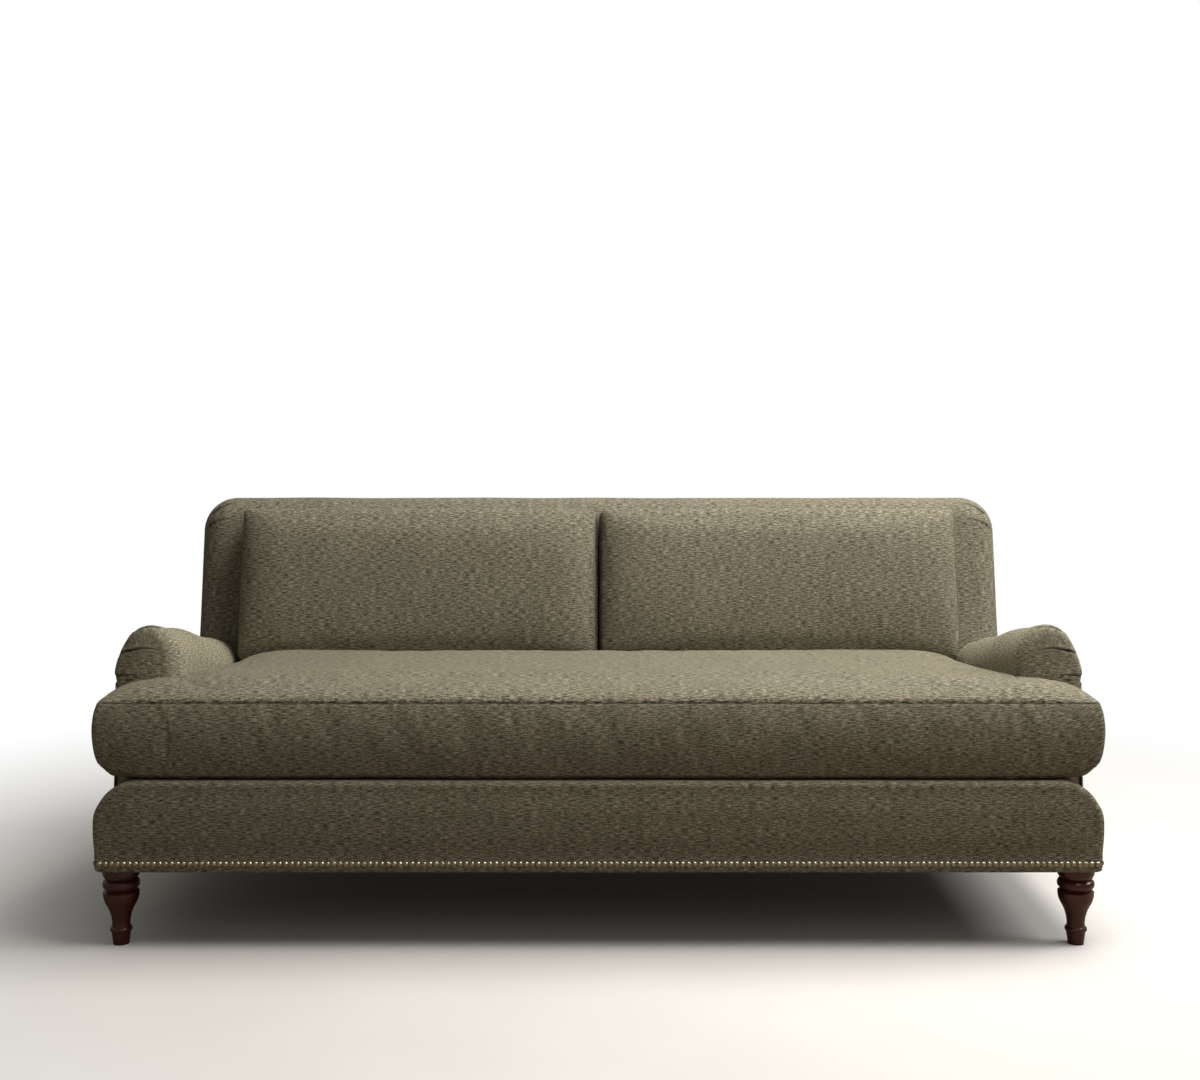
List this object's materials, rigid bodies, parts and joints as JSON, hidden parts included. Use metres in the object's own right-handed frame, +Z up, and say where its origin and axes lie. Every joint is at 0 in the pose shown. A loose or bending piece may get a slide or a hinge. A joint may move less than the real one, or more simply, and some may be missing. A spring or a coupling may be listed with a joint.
{
  "type": "sofa",
  "caption": "Low sofa with sloping rolled arms set back from a T-shaped bench cushion, loose back cushions, a nailhead-trimmed base and turned wooden legs.",
  "frame": {"origin": "on the floor, under the middle of the sofa's overall box", "axes": "+X to the right seen from the front, the front faces -Y, +Z up"},
  "size_m": [2.032, 1.016, 0.8619],
  "materials": {
    "frame_wood": "matte",
    "spring_steel": "satin",
    "webbing": "matte",
    "foam": "matte",
    "upholstery": "matte",
    "deck_cloth": "matte",
    "dust_cloth": "matte",
    "leg_wood": "satin",
    "glide_plastic": "matte",
    "nail_brass": "satin",
    "zip_tape": "matte",
    "zip_metal": "satin"
  },
  "bodies": {
    "root": {"front_rail": "frame_wood", "back_rail": "frame_wood", "left_side_rail": "frame_wood", "right_side_rail": "frame_wood", "seat_cross_rails": "frame_wood", "corner_blocks": "frame_wood", "left_arm_post": "frame_wood", "right_arm_post": "frame_wood", "left_arm_top_rail": "frame_wood", "right_arm_top_rail": "frame_wood", "left_arm_tack_rail": "frame_wood", "right_arm_tack_rail": "frame_wood", "left_back_post": "frame_wood", "right_back_post": "frame_wood", "back_top_rail": "frame_wood", "back_tack_rail": "frame_wood", "back_slats": "frame_wood", "seat_springs": "spring_steel", "spring_clips": "spring_steel", "spring_tie_wires": "spring_steel", "leg_bolts": "spring_steel", "leg_nuts": "spring_steel", "back_webbing": "webbing", "deck_pad": "foam", "front_border_pad": "foam", "left_arm_pad": "foam", "right_arm_pad": "foam", "inside_back_pad": "foam", "front_border_cover": "upholstery", "left_arm_cover": "upholstery", "right_arm_cover": "upholstery", "left_outside_arm_panel": "upholstery", "right_outside_arm_panel": "upholstery", "inside_back_cover": "upholstery", "outside_back_panel": "upholstery", "rear_base_panel": "upholstery", "deck_cover": "deck_cloth", "dust_cover": "dust_cloth", "front_left_leg": "leg_wood", "front_right_leg": "leg_wood", "rear_left_leg": "leg_wood", "rear_right_leg": "leg_wood", "leg_glides": "glide_plastic", "front_nailheads": "nail_brass", "left_nailheads": "nail_brass", "right_nailheads": "nail_brass"},
    "seat_cushion": {"seat_cushion_core": "foam", "seat_cushion_cover": "upholstery", "seat_cushion_zip": "zip_tape"},
    "seat_cushion_slider": {"seat_cushion_zip_slider": "zip_metal"},
    "left_back_cushion": {"left_back_cushion_core": "foam", "left_back_cushion_cover": "upholstery", "left_back_cushion_zip": "zip_tape"},
    "left_back_cushion_slider": {"left_back_cushion_zip_slider": "zip_metal"},
    "right_back_cushion": {"right_back_cushion_core": "foam", "right_back_cushion_cover": "upholstery", "right_back_cushion_zip": "zip_tape"},
    "right_back_cushion_slider": {"right_back_cushion_zip_slider": "zip_metal"}
  },
  "joints": [
    {"name": "seat_cushion_slide", "type": "slide", "parent": "root", "child": "seat_cushion", "axis": [0, -0.9992, 0.041], "range_m": [0, 0.35]},
    {"name": "seat_zip_slide", "type": "slide", "parent": "seat_cushion", "child": "seat_cushion_slider", "axis": [1, 0, 0], "range_m": [0, 1.55]},
    {"name": "left_back_cushion_lift", "type": "slide", "parent": "root", "child": "left_back_cushion", "axis": [0, -0.342, 0.9397], "range_m": [0, 0.3]},
    {"name": "left_back_zip_slide", "type": "slide", "parent": "left_back_cushion", "child": "left_back_cushion_slider", "axis": [1, 0, 0], "range_m": [0, 0.62]},
    {"name": "right_back_cushion_lift", "type": "slide", "parent": "root", "child": "right_back_cushion", "axis": [0, -0.342, 0.9397], "range_m": [0, 0.3]},
    {"name": "right_back_zip_slide", "type": "slide", "parent": "right_back_cushion", "child": "right_back_cushion_slider", "axis": [1, 0, 0], "range_m": [0, 0.62]}
  ]
}
